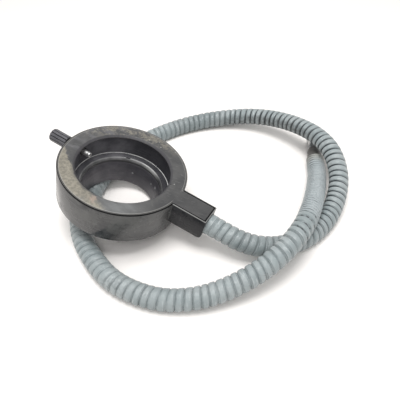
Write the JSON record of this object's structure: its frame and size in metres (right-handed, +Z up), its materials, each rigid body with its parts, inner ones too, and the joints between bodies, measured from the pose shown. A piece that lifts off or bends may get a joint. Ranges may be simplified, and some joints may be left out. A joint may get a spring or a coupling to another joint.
{
  "type": "microscope ring light",
  "caption": "Annular fibre-optic ring light for a stereo microscope, with clamp thumbscrew, arm, nose cone and ribbed light-guide hose ending in a ferrule.",
  "frame": {"origin": "on the surface it lies on, under the middle of the ring, arm and knob without the light guide", "axes": "+Z up from that surface; +X towards the arm and the hose exit; the ring leans 14.9 degrees down towards +X"},
  "size_m": [0.2234, 0.2182, 0.0585],
  "materials": {
    "satin_black": "satin black paint, lightly worn",
    "worn_plate": "dark grey, worn to a brownish patina",
    "bore_black": "satin black",
    "nose_grey": "dark grey anodised",
    "bright_steel": "bright turned",
    "steel": "turned",
    "screw_black": "black oxide",
    "fibre": "bundled optical fibres",
    "fibre_polished": "potted and polished fibre ends",
    "clamp_aluminium": "milled",
    "knob_black": "black, fluted",
    "hose_grey": "pale blue-grey PVC cover on a metal hose",
    "collar_brown": "grey-brown"
  },
  "bodies": {
    "ring_light": {"housing": "satin_black", "cover_plate": "worn_plate", "bore_sleeve": "bore_black", "sleeve_screw_1": "screw_black", "sleeve_screw_2": "screw_black", "sleeve_screw_3": "screw_black", "retaining_ring": "bore_black", "nose_core": "nose_grey", "fibre_skirt": "fibre", "fibre_end_ring": "fibre_polished", "fibre_fan_left": "fibre", "fibre_fan_right": "fibre", "bundle_clamp": "clamp_aluminium", "clamp_grub_screw": "screw_black", "hose_anchor": "steel", "anchor_grub_screw": "screw_black", "fibre_bundle": "fibre", "light_guide_hose": "hose_grey", "ferrule_collar": "collar_brown", "end_ferrule": "steel", "fibre_face": "fibre_polished", "screw_bush": "screw_black"},
    "screw_travel": {"pressure_pad": "steel"},
    "thumb_screw": {"thumb_knob": "knob_black", "thumb_stud": "bright_steel"}
  },
  "joints": [
    {"name": "screw_travel_slide", "type": "slide", "parent": "ring_light", "child": "screw_travel", "axis": [-0.9111, 0.3338, 0.242], "range_m": [-0.0014, 0.0063]},
    {"name": "thumb_screw_turn", "type": "hinge", "parent": "screw_travel", "child": "thumb_screw", "pos_m": [-0.05067, 0.01669, 0.05112], "axis": [-0.9111, 0.3338, 0.242], "range_deg": [-725, 3245]}
  ],
  "couplings": [
    {"joint": "thumb_screw_turn", "follows": "screw_travel_slide", "rad_per_m": 8976}
  ]
}
